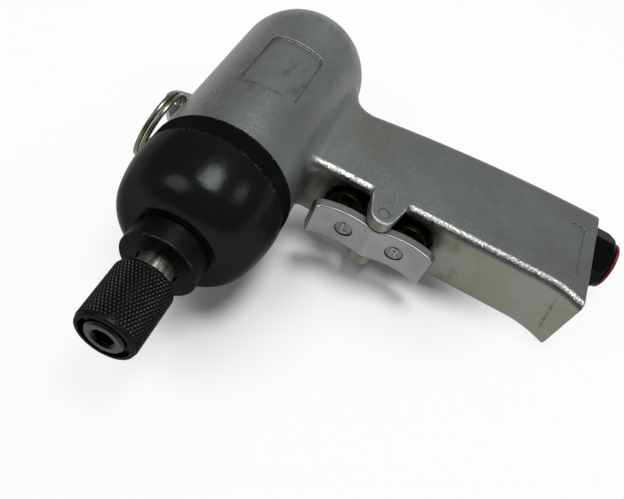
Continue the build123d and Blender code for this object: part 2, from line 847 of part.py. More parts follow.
def hammer_dog(x, turn):
    # A ring round the anvil jaw with one inner lug. It rocks on one hammer pin and has room at the other.
    outline = Circle(dog_r) - Circle(dog_inner_r)
    outline += sector(dog_lug_r, dog_inner_r + past, dog_lug_angle, dog_lug_span)
    outline -= Pos(hammer_pin_y, 0) * Circle(hammer_pin_r + running)
    outline -= sector(dog_slot_r, dog_r + past, 180, dog_slot_span)
    return Rot(turn, 0, 0) * across_barrel(outline, x, dog_thickness)


def inlet_bushing():
    hexagon = RegularPolygon(inlet_across / 2, 6, major_radius=False, rotation=inlet_turn)
    flats = extrude(Plane.XZ.offset(-handle_end_y) * Pos(inlet_x, 0) * hexagon, handle_end_y - inlet_end_y)
    corner_r = inlet_across / math.sqrt(3) + slip
    outline = Polyline(
        (0, handle_end_y),
        (corner_r, handle_end_y),
        (corner_r, inlet_end_y - corner_r + inlet_end_r),
        (inlet_end_r, inlet_end_y),
        (0, inlet_end_y),
        close=True,
    )
    bushing = flats & (Pos(inlet_x, 0, 0) * revolve(make_face(outline), Axis.Y))
    bushing += along_y(inlet_spigot_y, handle_end_y + past, inlet_spigot_r, inlet_x)
    mouth_y = inlet_end_y + inlet_lip
    bushing += along_y(inlet_end_y - past, mouth_y, inlet_lip_r, inlet_x)
    bushing -= along_y(mouth_y - inlet_thread_length, mouth_y + past, inlet_thread_r, inlet_x)
    return bushing - along_y(inlet_spigot_y - past, inlet_end_y, inlet_throat_r, inlet_x)


def inlet_screen():
    # A small perforated cup in the throat of the inlet.
    top_y = inlet_spigot_y + past
    bottom_y = top_y + screen_length
    cup = along_y(top_y, bottom_y, screen_r, inlet_x)
    cup -= along_y(top_y + screen_floor, bottom_y + past, screen_r - screen_wall, inlet_x)
    holes = [(0, 0)]
    for hole in range(screen_ring_holes):
        angle = 2 * math.pi * hole / screen_ring_holes
        holes.append((screen_hole_ring_r * math.cos(angle), screen_hole_ring_r * math.sin(angle)))
    for x, z in holes:
        cup -= along_y(top_y - past, bottom_y, screen_hole_r, inlet_x + x, z)
    return cup


def inlet_cap():
    # A dust cap that snaps over the lip round the thread.
    rear_y = inlet_end_y + slip
    cap = along_y(rear_y, rear_y + cap_thickness, cap_r, inlet_x)
    rim = [edge for edge in cap.edges() if edge.geom_type == GeomType.CIRCLE]
    cap = fillet(rim, cap_edge_r)
    return cap - along_y(inlet_end_y, inlet_end_y + inlet_lip + slip, inlet_lip_r + slip, inlet_x)


def exhaust_screen():
    plane = Plane.XZ.offset(-exhaust_screen_y) * Pos(exhaust_x, 0)
    outline = RectangleRounded(exhaust_length - 2 * slip, 2 * (exhaust_half - slip), exhaust_corner_r - slip)
    pitch = exhaust_hole_pitch
    holes = GridLocations(pitch, pitch, exhaust_hole_rows, exhaust_hole_columns) * Circle(exhaust_hole_r)
    return extrude(plane * (outline - holes), -exhaust_screen_thickness)


def bench_turn():
    # Barrel towards -Y, handle towards +X, rolled and pitched on to its three resting points.
    return Rot(-math.degrees(rest_pitch), 0, 0) * Rot(0, math.degrees(rest_roll), 0) * Rot(0, 0, -90)


def pieces():
    rear_outer, rear_inner, rear_balls, rear_cage = bearing_pieces(rear_bearing_x, **rear_bearing)
    front_outer, front_inner, front_balls, front_cage = bearing_pieces(front_bearing_x, **front_bearing)
    upper, lower = -1, 1
    return {
        "motor_housing": motor_housing(),
        "hammer_case": hammer_case(),
        "nose_collar": nose_collar(),
        "anvil_bush": anvil_bush(),
        "motor_gasket": motor_gasket(),
        "front_end_plate": front_end_plate(),
        "rear_end_plate": rear_end_plate(),
        "cylinder_liner": cylinder_liner(),
        "liner_dowel": liner_dowel(),
        "front_bearing_outer_ring": front_outer,
        "front_bearing_inner_ring": front_inner,
        "front_bearing_balls": front_balls,
        "front_bearing_cage": front_cage,
        "rear_bearing_outer_ring": rear_outer,
        "rear_bearing_inner_ring": rear_inner,
        "rear_bearing_balls": rear_balls,
        "rear_bearing_cage": rear_cage,
        "rotor": rotor(),
        "rotor_vanes": rotor_vanes(),
        "hammer_cage": hammer_cage(),
        "hammer_pins": hammer_pins(),
        "rear_hammer_dog": hammer_dog(rear_dog_x, 0),
        "front_hammer_dog": hammer_dog(front_dog_x, 180),
        "anvil": anvil(),
        "bit_ball": bit_ball(),
        "chuck_sleeve": chuck_sleeve(),
        "sleeve_washer": sleeve_washer(),
        "sleeve_snap_ring": sleeve_snap_ring(),
        "sleeve_spring": sleeve_spring(),
        "trigger": trigger(),
        "trigger_pin": trigger_pin(),
        "upper_valve_bush": valve_bush(upper),
        "upper_valve_stem": valve_stem(upper),
        "upper_valve_seal": valve_seal(upper),
        "upper_valve_spring": valve_spring(upper),
        "lower_valve_bush": valve_bush(lower),
        "lower_valve_stem": valve_stem(lower),
        "lower_valve_seal": valve_seal(lower),
        "lower_valve_spring": valve_spring(lower),
        "inlet_bushing": inlet_bushing(),
        "inlet_screen": inlet_screen(),
        "inlet_cap": inlet_cap(),
        "exhaust_screen": exhaust_screen(),
        "split_ring": split_ring(),
    }


def bench_place(shapes):
    # The origin is on the bench, under the middle of the whole tool.
    box = Compound([bench_turn() * shape for shape in shapes.values()]).bounding_box()
    middle = box.center()
    return Pos(-middle.X, -middle.Y, -box.min.Z) * bench_turn()


if __name__ == "__main__":
    os.makedirs("parts", exist_ok=True)
    tool = pieces()
    place = bench_place(tool)
    for name, shape in tool.items():
        export_step(place * shape, f"parts/{name}.step")
    print(len(tool), "pieces; origin sits at", place.inverse().position, "in the tool's own axes")
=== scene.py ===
import json
import math

import bmesh
import bpy
from mathutils import Matrix, Vector

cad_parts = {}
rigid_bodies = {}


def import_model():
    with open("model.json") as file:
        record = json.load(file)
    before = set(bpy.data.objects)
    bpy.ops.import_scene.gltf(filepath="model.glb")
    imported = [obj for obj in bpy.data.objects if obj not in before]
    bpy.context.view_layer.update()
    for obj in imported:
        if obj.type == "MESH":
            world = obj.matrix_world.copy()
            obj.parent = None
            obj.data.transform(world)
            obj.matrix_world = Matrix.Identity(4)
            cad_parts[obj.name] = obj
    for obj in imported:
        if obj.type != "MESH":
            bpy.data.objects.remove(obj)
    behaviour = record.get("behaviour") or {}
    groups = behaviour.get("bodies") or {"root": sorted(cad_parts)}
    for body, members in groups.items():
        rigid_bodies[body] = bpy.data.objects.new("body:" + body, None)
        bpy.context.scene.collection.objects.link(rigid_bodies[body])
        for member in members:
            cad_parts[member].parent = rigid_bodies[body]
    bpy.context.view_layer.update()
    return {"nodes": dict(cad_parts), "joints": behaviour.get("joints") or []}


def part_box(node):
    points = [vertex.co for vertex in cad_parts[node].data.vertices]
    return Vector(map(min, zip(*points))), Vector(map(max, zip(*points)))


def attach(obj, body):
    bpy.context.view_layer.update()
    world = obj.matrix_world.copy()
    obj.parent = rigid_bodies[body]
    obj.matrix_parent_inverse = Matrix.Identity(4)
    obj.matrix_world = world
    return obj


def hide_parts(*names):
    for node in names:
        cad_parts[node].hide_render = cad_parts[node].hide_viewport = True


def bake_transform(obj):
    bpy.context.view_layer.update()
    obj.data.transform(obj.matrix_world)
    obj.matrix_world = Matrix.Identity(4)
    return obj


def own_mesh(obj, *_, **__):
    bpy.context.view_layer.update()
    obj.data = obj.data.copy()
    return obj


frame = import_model()
nodes = frame["nodes"]
mm = 0.001

# The tool's own axes come from its joints: x along the barrel to the bit, y down the handle, z across it
joints = {joint["name"]: joint for joint in frame["joints"]}
toolOrigin = Vector(joints["rotor_spin"]["pos_m"])
barrelWay = Vector(joints["rotor_spin"]["axis"])
handleWay = Vector(joints["cap_pull"]["axis"])
acrossWay = Vector(joints["trigger_rock"]["axis"])
toolAxes = Matrix((barrelWay, handleWay, acrossWay)).transposed().to_4x4()
toolAxes.translation = toolOrigin
toMetres = Matrix.Scale(mm, 4)


def toolSpot(x, y, z):
    return toolAxes @ (Vector((x, y, z)) * mm)


def toolWay(x, y, z):
    return (toolAxes.to_3x3() @ Vector((x, y, z))).normalized()


def placed(origin, xWay, yWay):
    # millimetres about a spot of the tool, with z square to the two ways given
    x, y = Vector(xWay).normalized(), Vector(yWay).normalized()
    turn = Matrix((x, y, x.cross(y))).transposed().to_4x4()
    turn.translation = Vector(origin)
    return toolAxes @ toMetres @ turn


def added(name, data):
    made = bpy.data.objects.new(name, data)
    bpy.context.scene.collection.objects.link(made)
    return made


# Node sums
def mathNode(operation, swapped=False):
    def apply(self, other):
        first, second = (other, self) if swapped else (self, other)
        return self.web.add("ShaderNodeMath", {"operation": operation}, {0: first, 1: second})
    return apply


class Wire:
    # one socket of a node tree, which adds Math nodes when it is used in a sum
    def __init__(self, web, socket):
        self.web, self.socket = web, socket

    __add__, __radd__ = mathNode("ADD"), mathNode("ADD", True)
    __sub__, __rsub__ = mathNode("SUBTRACT"), mathNode("SUBTRACT", True)
    __mul__, __rmul__ = mathNode("MULTIPLY"), mathNode("MULTIPLY", True)
    __truediv__, __rtruediv__ = mathNode("DIVIDE"), mathNode("DIVIDE", True)
    __pow__ = mathNode("POWER")
    most, least = mathNode("MAXIMUM"), mathNode("MINIMUM")
    turnFrom = mathNode("ARCTAN2")

    def __abs__(self):
        return self.web.add("ShaderNodeMath", {"operation": "ABSOLUTE"}, {0: self})

    def rise(self, low, high):
        # 0 at low and 1 at high, eased; swap them for a fall
        inputs = {"Value": self, "From Min": low, "From Max": high}
        return self.web.add("ShaderNodeMapRange", {"interpolation_type": "SMOOTHSTEP"}, inputs)

    def near(self, middle, reach, soft):
        # 1 within reach of the middle, then gone over the soft width
        return abs(self - middle).rise(reach + soft, reach)


class Web:
    # a shader or geometry tree under construction
    def __init__(self, tree):
        self.tree = tree

    def add(self, kind, settings=None, inputs=None, out=0):
        made = self.tree.nodes.new(kind)
        for name, value in (settings or {}).items():
            setattr(made, name, value)
        for key, value in (inputs or {}).items():
            if isinstance(value, Wire):
                self.tree.links.new(value.socket, made.inputs[key])
            else:
                made.inputs[key].default_value = value
        return Wire(self, made.outputs[out]) if len(made.outputs) else made


class Finish(Web):
    # a material whose patterns are measured in millimetres in the tool's own axes
    def __init__(self, name, **constants):
        self.material = bpy.data.materials.new(name)
        self.material.use_nodes = True
        super().__init__(self.material.node_tree)
        self.shader = self.tree.nodes["Principled BSDF"]
        for socket, value in constants.items():
            self.shader.inputs[socket.replace("_", " ")].default_value = value
        place = self.add("ShaderNodeTexCoord", out="Object")
        turned = {"Location": toolOrigin, "Rotation": toolAxes.to_euler(), "Scale": (mm, mm, mm)}
        self.spot = self.add("ShaderNodeMapping", {"vector_type": "TEXTURE"}, {"Vector": place, **turned})
        split = self.add("ShaderNodeSeparateXYZ", None, {0: self.spot}).socket.node
        self.x, self.y, self.z = [Wire(self, socket) for socket in split.outputs]

    def noise(self, size, detail=3.0, rough=0.5, stretch=None):
        # size is the pattern's own size in millimetres
        at = self.spot
        if stretch:
            at = self.add("ShaderNodeMapping", None, {"Vector": at, "Scale": stretch})
        inputs = {"Vector": at, "Scale": 1 / size, "Detail": detail, "Roughness": rough}
        return self.add("ShaderNodeTexNoise", {"noise_dimensions": "3D"}, inputs, "Fac")

    def flakes(self, size):
        # cells that each have a colour of their own, and the red of it as a number
        inputs = {"Vector": self.spot, "Scale": 1 / size}
        cells = self.add("ShaderNodeTexVoronoi", {"feature": "F1"}, inputs, "Color")
        return cells, self.add("ShaderNodeSeparateColor", None, {0: cells})

    def mix(self, share, first, second):
        kind = {"data_type": "RGBA", "clamp_factor": True}
        shades = [shade if isinstance(shade, Wire) else (*shade, 1.0) for shade in (first, second)]
        return self.add("ShaderNodeMix", kind, {0: share, 6: shades[0], 7: shades[1]}, 2)

    def vector(self, operation, first, second, out="Vector"):
        return self.add("ShaderNodeVectorMath", {"operation": operation}, {0: first, 1: second}, out)

    def edges(self, radius):
        # 1 on sharp edges, found where a rounded normal leaves the true one, and that rounded normal
        rounded = self.add("ShaderNodeBevel", {"samples": 6}, {"Radius": radius * mm})
        true = self.add("ShaderNodeNewGeometry", out="Normal")
        agree = self.vector("DOT_PRODUCT", rounded, true, "Value")
        return (1 - agree).rise(0.01, 0.16), rounded

    def corners(self, reach):
        # 1 deep in inner corners, used for painted shade there
        opened = self.add("ShaderNodeAmbientOcclusion", {"samples": 6}, {"Distance": reach * mm}, "AO")
        return 1 - opened

    def tilted(self, normal, cells, spread):
        # each cell leans its own way, by up to half the spread
        lean = self.vector("SUBTRACT", cells, (0.5, 0.5, 0.5))
        spreads = self.add("ShaderNodeCombineXYZ", None, dict.fromkeys("XYZ", spread))
        leaning = self.vector("ADD", normal, self.vector("MULTIPLY", lean, spreads))
        return self.add("ShaderNodeVectorMath", {"operation": "NORMALIZE"}, {0: leaning})

    def outside(self, x, y, halfX, halfY, corner):
        # distance outside a rounded rectangle, negative inside it
        dx, dy = abs(x) - (halfX - corner), abs(y) - (halfY - corner)
        beyond = (dx.most(0.0) ** 2.0 + dy.most(0.0) ** 2.0) ** 0.5
        return beyond + dx.most(dy).least(0.0) - corner

    def bump(self, height, depth, normal=None):
        # depth is the relief in millimetres of a height that runs from 0 to 1
        inputs = {"Height": height, "Strength": 1.0, "Distance": depth * mm}
        if normal:
            inputs["Normal"] = normal
        return self.add("ShaderNodeBump", None, inputs)

    def done(self, **links):
        for socket, value in links.items():
            target = self.shader.inputs[socket.replace("_", " ")]
            if isinstance(value, Wire):
                self.tree.links.new(value.socket, target)
            else:
                target.default_value = value
        return self.material


def paint(names, material):
    for name in names:
        mesh = nodes[name].data
        mesh.materials.clear()
        mesh.materials.append(material)


# Cast and blasted alloy of the motor housing
alloy = dict(
    shade=(0.2, 0.2145, 0.199), flake=(0.5, 0.51, 0.5), oily=(0.235, 0.242, 0.18), olive=(0.11, 0.104, 0.052),
    dark=(0.035, 0.036, 0.03), brown=(0.15, 0.13, 0.1), paintedHighlight=(0.66, 0.67, 0.66), black=(0.006, 0.006, 0.003),
    grey=(0.256, 0.264, 0.232), lug=(0.34, 0.345, 0.32), rim=(0.95, 0.95, 0.94),
    flakeSize=0.44, lean=0.17, streakLean=0.28, relief=0.012, rough=0.44, metal=0.8, handled=0.85,
    frontX=-19.4, half=14.0, draft=0.01396, endY=132.7, edge=2.7, flareY=116.0, flareR=33.7, rootY=26.5,
    rootR=6.0, rootStart=31.0,
    lugY=55.7, lugHalf=7.6, tipX=-6.5, pinX=-11.1, pinR=2.0,
    seatX=-39.5, seatHalf=(15.5, 10.3), seatCorner=3.0, seatTop=(14.0, 15.0), seatFrontX=(-24.3, 0.2, 1.1),
    pocketY=56.0, pocketHalf=(21.4, 9.8), pocketCorner=9.0, hangerY=(-24.0, -26.5), domeX=(-68.0, -80.0),
    sparkleSize=0.3, pitSize=0.9, handledY=(28.0, 44.0), palmY=(78.0, 14.0, 16.0),
    sideStainY=(88.0, 3.0, 12.0), endStainY=(126.0, 0.1, 0.8), rootStainY=(36.0, 30.0),
    heelX=(-46.0, 4.0, 12.0), heelY=(38.0, 4.0, 12.0),
)


def alloyFinish():
    a = alloy
    f = Finish("blastedAlloy")
    cells, flake = f.flakes(a["flakeSize"])
    cloud = f.noise(26.0, 4.0, 0.6)
    smear = f.noise(7.0, 5.0, 0.65, (0.5, 1.3, 1.0))
    patch = f.noise(2.2, 4.0, 0.7)
    shade = f.mix(cloud.rise(0.3, 0.75), [c * 0.9 for c in a["shade"]], [c * 1.1 for c in a["shade"]])
    # painted glints: bright specks in the base colour, more of them towards the front
    sparkle = f.flakes(a["sparkleSize"])[1].rise(0.93, 1.0) * (0.35 + 0.65 * f.x.rise(-34.0, -6.0))
    shade = f.mix(sparkle * 0.42, shade, a["flake"])
    grip = 1 - a["handled"] + 0.07 * f.y.near(*a["palmY"])
    shade = f.mix(f.y.rise(*a["handledY"]) * grip, shade, a["dark"])

    # how far round the grip's front edge a spot lies: 0 on its side, a quarter turn on its front
    flared = (f.y - a["flareY"]).most(0.0)
    curl = a["flareR"] - (a["flareR"] ** 2 - flared * flared) ** 0.5
    frontX = a["frontX"] + (a["flareY"] - f.y) * a["draft"] + curl
    sideZ = a["half"] - (a["endY"] - f.y) * a["draft"]
    intoRoot = (a["rootStart"] - (f.y * f.y + f.z * f.z) ** 0.5).most(0.0).least(a["rootR"] - 1)
    edgeR = a["edge"] + a["rootR"] - (a["rootR"] ** 2 - intoRoot * intoRoot) ** 0.5
    ahead = (f.x - frontX + a["edge"]) / edgeR
    aloft = (f.z - sideZ + a["edge"]) / edgeR
    turn = ahead.turnFrom(aloft) * (180 / math.pi)
    onEdge = (ahead * ahead + aloft * aloft).rise(1.3, 1.15) * f.y.rise(a["rootY"] - 4.0, a["rootY"] + 4.0)
    onEdge = onEdge * abs(f.y - a["lugY"]).rise(a["lugHalf"], a["lugHalf"] + 0.3) * f.z.rise(7.0, 9.0)
    # masks of the painted highlight on the grip's front edge and of the painted shade below it
    ragged = turn + (f.noise(0.5, 2.0, 0.7) - 0.5) * 46 + (patch - 0.5) * 20
    paintedHighlight = onEdge * ragged.rise(-4.0, 15.0) * ragged.rise(60.0, 34.0)
    shaded = onEdge * ragged.rise(42.0, 58.0) * turn.rise(98.0, 84.0)
    # a painted highlight along the lugs' rounded rims
    lugRim = (f.x - frontX).rise(0.2, 0.5) * (f.z - sideZ).near(-0.3, 0.15, 0.15)
    lugRim = lugRim * f.y.near(a["lugY"], a["lugHalf"], 0.5) * patch.rise(0.25, 0.5)

    # smooth, oily front of the grip and of the lugs, with its stains
    front = (f.x - frontX).rise(-0.3, -0.05) * f.y.rise(a["rootY"], a["rootY"] + 2.0)
    front = front * (abs(f.z) - sideZ).rise(-0.3, -0.6)
    shade = f.mix(front * 0.9, shade, f.mix(cloud.rise(0.4, 0.62), a["grey"], a["oily"]))
    lugs = front * (f.x - frontX).rise(0.3, 0.8)
    shade = f.mix(lugs * (0.5 + 0.5 * patch), shade, a["lug"])
    stain = f.y.near(*a["sideStainY"]) * smear.rise(0.45, 0.7) * 0.6
    endStain = (f.y + f.z * 0.2).near(*a["endStainY"]) * abs(f.z).rise(10.0, 5.0)
    stain = stain.most(endStain * patch.rise(0.38, 0.56))
    stain = stain.most(f.y.rise(*a["rootStainY"]) * smear.rise(0.35, 0.6) * 0.7)
    stain = stain.most((f.x - a["tipX"]).rise(-1.6, -0.4) * f.y.near(a["lugY"], 0.6, 2.4) * 0.8)
    shade = f.mix(front * stain * 0.85, shade, a["olive"])
    pits = f.flakes(a["pitSize"])[1].rise(0.985, 0.995) * front * patch.rise(0.42, 0.55)
    shade = f.mix(pits * 0.25, shade, a["dark"])

    # the edge that the fingers wrap round gets a painted highlight, and its lower half painted shade
    speckle = flake.rise(0.15, 0.6)
    speckle = speckle + (1 - speckle) * (0.6 - 0.4 * f.y.rise(50.0, 95.0))
    shade = f.mix(paintedHighlight * speckle, shade, a["paintedHighlight"])
    shade = f.mix(lugRim * 0.9, shade, a["rim"])
    shade = f.mix(shaded * (0.68 - 0.4 * flake.rise(0.6, 0.95)), shade, a["dark"])
    pinRim = ((f.x - a["pinX"]) ** 2.0 + (f.y - a["lugY"]) ** 2.0) ** 0.5
    shade = f.mix(pinRim.near(a["pinR"], 0.12, 0.2) * 0.85, shade, a["dark"])

    # the barrel's label seat: painted shade along its sides, a painted highlight on its rear edge, smears at
    # its front
    seat = f.outside(f.x - a["seatX"], f.y, *a["seatHalf"], a["seatCorner"])
    top = f.z.rise(*a["seatTop"])
    seatSide = abs(seat).rise(0.4, 0.1) * abs(f.y).rise(8.0, 9.4) * f.x.rise(-25.5, -27.0)
    seatRear = abs(seat + 0.1).rise(0.5, 0.15) * f.x.rise(-52.8, -53.8)
    seatFront = (f.x + f.y * 0.12).near(*a["seatFrontX"]) * f.y.near(-2.0, 5.0, 4.0) * patch.rise(0.42, 0.6)
    shade = f.mix(top * seatRear * 0.75, shade, a["flake"])
    shade = f.mix(top * (seatSide * 0.9).most(seatFront * 0.45), shade, a["dark"])

    # smears of the hand and of oil
    smudge = seat.rise(9.0, 0.0) * top * smear.rise(0.52, 0.74) * 0.5
    smudge = smudge.most(f.x.rise(*a["domeX"]) * smear.rise(0.45, 0.66) * f.z.rise(4.0, 14.0) * 0.6)
    shade = f.mix(smudge, shade, a["dark"])
    heel = f.y.near(*a["heelY"]) * f.x.near(*a["heelX"]) * patch.rise(0.35, 0.65)
    shade = f.mix(heel * 0.4, shade, a["brown"])

    # painted shade and oil in the pocket behind the trigger, and painted shade and sooty dirt round its mouth
    pocket = f.outside(f.y - a["pocketY"], f.z, *a["pocketHalf"], a["pocketCorner"])
    inside = (f.x - frontX).rise(0.0, -0.5) * f.x.rise(-60.0, -50.0) * pocket.rise(0.4, 0.0)
    shadeAndSootReach = 4.0 + 3.5 * f.z.rise(2.0, 7.0)
    mouth = front.most(shaded) * pocket.rise(shadeAndSootReach, 0.0) * (f.x - frontX).rise(0.4, 0.1)
    shade = f.mix(mouth * (0.7 + 0.3 * patch.rise(0.3, 0.6)), shade, a["black"])
    shade = f.mix(inside * 0.96, shade, a["black"])

    # edges brightened by wear and, on the lugs, by a painted highlight; the pale hanger lug with painted
    # highlights on its edges; painted shade in the corners; and the grain of the blasting
    edge, rounded = f.edges(0.5)
    shade = f.mix(edge * (1 - inside) * (0.45 + 0.5 * lugs), shade, a["flake"])
    shade = f.mix(f.y.rise(*a["hangerY"]) * (0.5 + 0.5 * edge), shade, [c * 1.3 for c in a["lug"]])
    # painted shade in the inner corners
    shade = f.mix(f.corners(2.5).rise(0.25, 0.75) * 0.6, shade, a["dark"])
    coarse = 1 - (front * 0.9).most(inside)
    leaning = f.tilted(rounded, cells, (a["lean"] + a["streakLean"] * paintedHighlight) * coarse)
    fine = f.noise(a["flakeSize"] * 0.7, 2.0, 0.6)
    rough = a["rough"] + 0.1 * (cloud - 0.5) - 0.06 * front + 0.1 * inside
    return f.done(
        Base_Color=shade,
        Roughness=rough,
        Metallic=a["metal"] - 0.2 * front - 0.5 * inside,
        Normal=f.bump(fine * coarse, a["relief"], leaning),
    )


# Black coating of the hammer case
blackCoat = dict(
    shade=(0.0172, 0.019, 0.0181), dust=(0.0274, 0.029, 0.0274), glint=(0.4, 0.41, 0.4), band=(0.0, 0.0, 0.0),
    rough=0.21, grain=0.4, peel=3.0, relief=0.1, bandX=(0.2, 8.4),
)


def blackCoatFinish():
    b = blackCoat
    f = Finish("blackCoat", Metallic=0.65, Specular_IOR_Level=0.0, Specular_Tint=(0.55, 0.55, 0.55, 1.0))
    cloud = f.noise(18.0, 4.0, 0.6)
    sand = f.noise(b["grain"], 3.0, 0.6)
    peel = f.noise(b["peel"], 2.0, 0.5)
    dots = f.flakes(0.5)[1]
    shade = f.mix(cloud.rise(0.45, 0.8) * 0.5, b["shade"], b["dust"])
    shade = f.mix(sand.rise(0.5, 0.75) * 0.4, shade, b["dust"])
    bandRear, bandFront = b["bandX"]
    shade = f.mix(f.x.rise(bandFront + 0.3, bandFront) * 0.4, shade, b["band"])
    rim = f.x.near(bandRear, 0.2, 0.3).most(f.x.near(bandFront, 0.25, 0.3))
    glints = rim * dots.rise(0.85, 0.95)
    shade = f.mix(glints * 0.6, shade, b["glint"])
    rounded = f.edges(0.3)[1]
    rough = b["rough"] + 0.1 * (cloud - 0.5) + 0.14 * (sand - 0.5)
    relief = f.bump(sand * 0.25 + peel * 0.75, b["relief"], rounded)
    return f.done(Base_Color=shade, Roughness=rough, Normal=relief)


# Black oxide on the collar, the sleeve and its small parts
oxide = dict(
    shade=(0.013, 0.0135, 0.0135), bare=(0.3, 0.29, 0.28), rough=0.38, collarR=13.3,
    collarRimHighlights=((35.15, 0.9), (43.05, 0.25)), knurlX=50.2, knurlR=(10.04, 10.2, 10.4),
)


def oxideFinish():
    o = oxide
    f = Finish("blackOxide", Metallic=0.8, Specular_IOR_Level=0.1, Specular_Tint=(0.5, 0.5, 0.5, 1.0))
    cloud = f.noise(5.0, 4.0, 0.6)
    fine = f.noise(0.25, 3.0, 0.6)
    lathe = f.noise(0.5, 2.0, 0.5, (6.0, 0.15, 0.15))
    edge, rounded = f.edges(0.22)
    shade = f.mix(cloud.rise(0.4, 0.8) * 0.5, o["shade"], [c * 2.2 for c in o["shade"]])
    radius = (f.y * f.y + f.z * f.z) ** 0.5
    base, slope, tip = o["knurlR"]
    knurled = radius.rise(base, base + 0.02) * f.x.rise(o["knurlX"] - 0.1, o["knurlX"])
    # edges bared by wear, with painted highlights on the knurl tips and on the collar's two rims
    rubbedAndHighlit = edge * fine.rise(0.4, 0.6) * (1 - knurled) * 0.5
    rubbedAndHighlit = rubbedAndHighlit.most(knurled * radius.rise(slope, tip) * 0.22)
    outer = radius.rise(o["collarR"] - 0.05, o["collarR"] + 0.05)
    for rimX, strength in o["collarRimHighlights"]:
        rubbedAndHighlit = rubbedAndHighlit.most(f.x.near(rimX, 0.05, 0.1) * outer * cloud.rise(0.45, 0.62) * strength)
    shade = f.mix(rubbedAndHighlit, shade, o["bare"])
    rough = o["rough"] + 0.12 * (cloud - 0.5) + 0.06 * (lathe - 0.5)
    relief = f.bump(fine * 0.5 + lathe * 0.5, 0.008, rounded)
    return f.done(Base_Color=shade, Roughness=rough, Normal=relief)


# Turned steel of the anvil: bright behind the sleeve, dark at the tip, with a painted brown highlight on its
# edges there and painted shade in its socket
turnedSteel = dict(
    bright=(0.52, 0.5, 0.43), dark=(0.026, 0.026, 0.025), stained=(0.1, 0.092, 0.07), brown=(0.3, 0.25, 0.19),
    socketShade=(0.002, 0.002, 0.002), bareX=(42.2, 50.5), mouthX=70.0, mouthR=4.25,
)


def anvilFinish():
    t = turnedSteel
    f = Finish("turnedSteel")
    lathe = f.noise(0.6, 3.0, 0.6, (5.0, 0.12, 0.12))
    around = f.noise(2.4, 3.0, 0.6, (0.15, 1.0, 1.0))
    start, end = t["bareX"]
    bare = f.x.rise(end + 1.5, end) * f.x.rise(start, start + 0.5)
    shade = f.mix(bare, t["dark"], t["bright"])
    shade = f.mix(around.rise(0.42, 0.62) * bare * 0.85, shade, t["stained"])
    edge, rounded = f.edges(0.3)
    # a painted brown highlight on the edges of the dark part
    shade = f.mix(edge * (1 - bare) * 0.35, shade, t["brown"])
    radius = (f.y * f.y + f.z * f.z) ** 0.5
    # painted shade in the socket's chamfer and hole
    mouth = radius.rise(t["mouthR"] + 0.15, t["mouthR"] - 0.15)
    shade = f.mix(mouth * f.x.rise(t["mouthX"] - 1, t["mouthX"]) * 0.85, shade, t["socketShade"])
    rough = 0.34 + 0.15 * (lathe - 0.5) - 0.06 * bare
    return f.done(Base_Color=shade, Roughness=rough, Metallic=0.9, Normal=f.bump(lathe, 0.005, rounded))


# Satin plating of the trigger
plating = dict(
    shade=(0.292, 0.304, 0.298), dull=(0.234, 0.243, 0.236), edge=(0.95, 0.95, 0.95),
    paintedShade=(0.02, 0.02, 0.018), rough=0.32, pin=(-11.1, 55.7), tilt=3.0,
    seatY=10.0, seatR=3.3, seatFloor=2.86, leftEndShade=-22.9,
)


def platingFinish():
    p = plating
    f = Finish("satinPlating")
    cloud = f.noise(11.0, 4.0, 0.55)
    fine = f.noise(0.3, 3.0, 0.6)
    scratch = f.noise(0.5, 3.0, 0.6, (1.0, 0.12, 2.0))
    shade = f.mix(cloud.rise(0.35, 0.75), p["shade"], p["dull"])
    edge, rounded = f.edges(0.4)
    # sharp edges painted near white: partly wear, partly a painted highlight
    shade = f.mix(edge * 0.7, shade, p["edge"])

    # painted shade darkens the two round seats and their outlines; the raised marks above the seat floor stay
    # plain plating
    cosine, sine = math.cos(math.radians(p["tilt"])), math.sin(math.radians(p["tilt"]))
    fromPinX, fromPinY = f.x - p["pin"][0], f.y - p["pin"][1]
    proud = fromPinX * cosine + fromPinY * sine - p["seatFloor"]
    along = abs(fromPinY * cosine - fromPinX * sine) - p["seatY"]
    fromSeat = (along * along + f.z * f.z) ** 0.5
    sunk = fromSeat.rise(p["seatR"], p["seatR"] - 0.2) * proud.rise(0.16, 0.06) * proud.rise(-0.6, -0.4)
    rim = fromSeat.near(p["seatR"], 0.12, 0.12) * proud.rise(-0.6, -0.4)
    shade = f.mix((sunk * 0.35).most(rim * 0.92), shade, p["paintedShade"])
    # painted shade in the inner corners
    shade = f.mix(f.corners(0.9).rise(0.12, 0.5) * 0.9, shade, p["paintedShade"])
    # painted dark reflection of the case on the left end's face
    leftEndShade = (fromPinY * cosine - fromPinX * sine).rise(p["leftEndShade"] + 0.5, p["leftEndShade"])
    shade = f.mix(leftEndShade * 0.8, shade, p["paintedShade"])
    rough = p["rough"] + 0.14 * (cloud - 0.5) + 0.1 * (scratch - 0.5)
    relief = f.bump(fine * 0.6 + scratch * 0.4, 0.008, rounded)
    return f.done(Base_Color=shade, Roughness=rough, Metallic=0.9, Normal=relief)


def groundSteel(name, shade, rough, stretch=(1.0, 1.0, 1.0), metal=0.9, relief=0.006):
    # plain machined steel with fine grinding marks
    f = Finish(name)
    cloud = f.noise(4.0, 4.0, 0.6)
    marks = f.noise(0.4, 3.0, 0.6, stretch)
    edge, rounded = f.edges(0.2)
    tone = f.mix(cloud.rise(0.35, 0.75), shade, [c * 0.72 for c in shade])
    tone = f.mix(edge * 0.4, tone, [min(1.0, c * 1.6) for c in shade])
    ground = f.bump(marks, relief, rounded)
    return f.done(Base_Color=tone, Roughness=rough + 0.16 * (marks - 0.5), Metallic=metal, Normal=ground)


# Brass of the valve bushes, near black with oil and painted shade, with painted glints on its rims
brass = dict(paintedBrassGlint=(0.42, 0.33, 0.1), oily=(0.006, 0.0055, 0.002))


